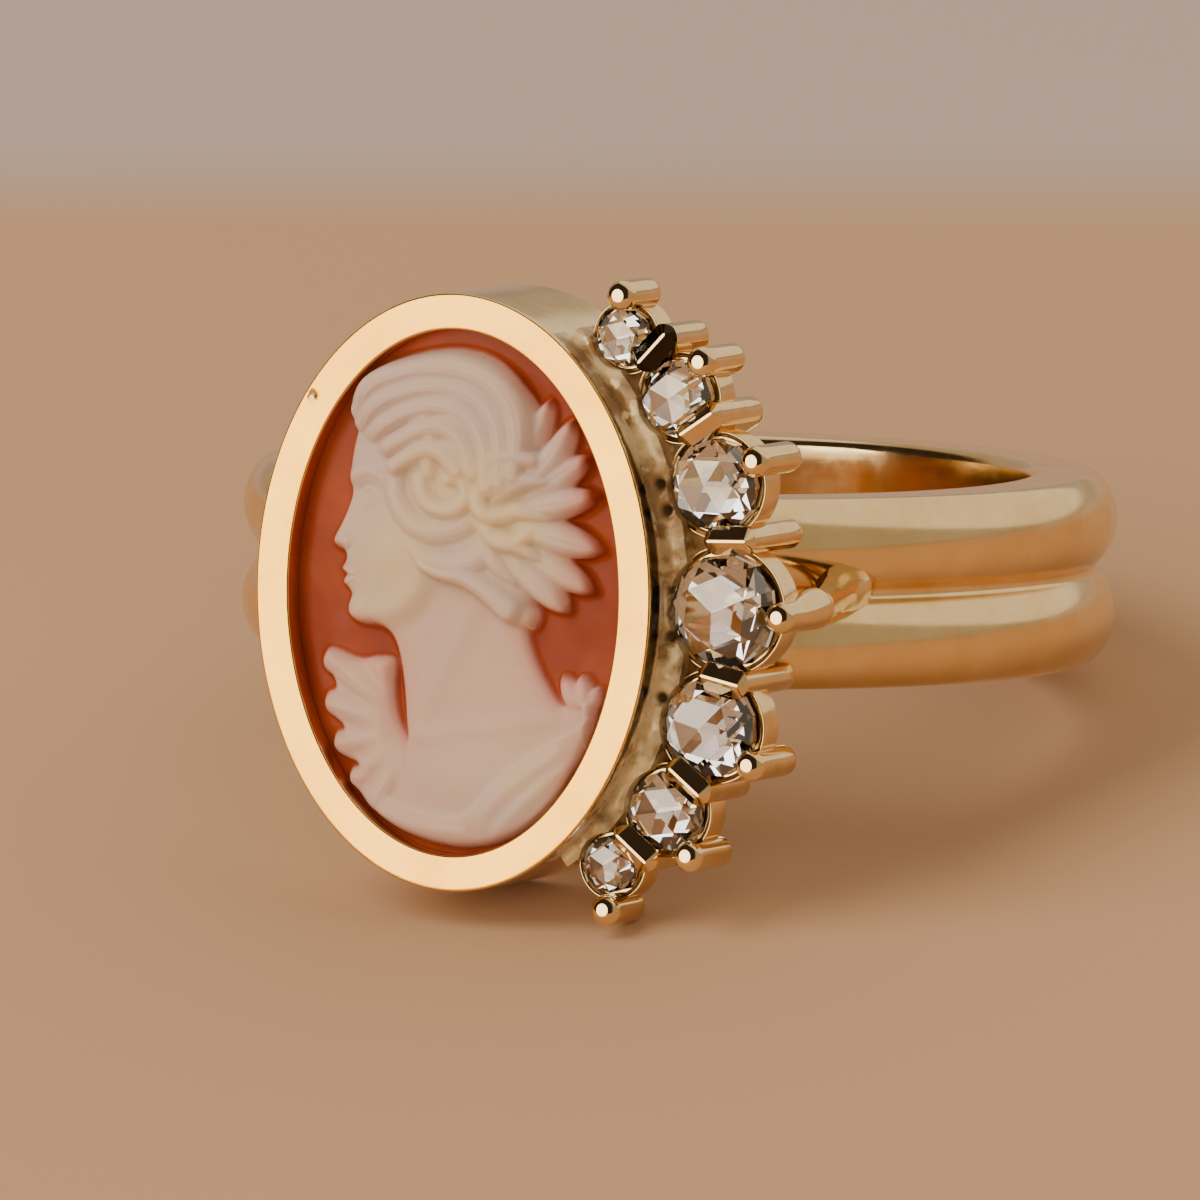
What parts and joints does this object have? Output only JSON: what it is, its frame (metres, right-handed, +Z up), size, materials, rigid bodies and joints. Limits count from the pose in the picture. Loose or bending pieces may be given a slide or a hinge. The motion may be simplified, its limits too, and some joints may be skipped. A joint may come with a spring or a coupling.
{
  "type": "gemstone ring",
  "caption": "Finger ring with a double-ribbed band, a deep oval bezel holding a carved shell cameo, and a crescent of rose-cut stones along one side.",
  "frame": {"origin": "centre of the finger hole, with the ring lying on its side as it comes to rest", "axes": "+Z up; the cameo faces -Y and slightly up; +X to the right as the cameo is faced, towards the crescent of stones"},
  "size_m": [0.0216, 0.0247, 0.0154],
  "materials": {
    "gold": "polished yellow gold",
    "shell": "polished carved shell, white over orange-red",
    "stone": "clear, polished facets"
  },
  "bodies": {
    "root": {"gold_mount": "gold", "cameo": "shell", "stone_1": "stone", "stone_2": "stone", "stone_3": "stone", "stone_4": "stone", "stone_5": "stone", "stone_6": "stone", "stone_7": "stone"}
  },
  "joints": []
}
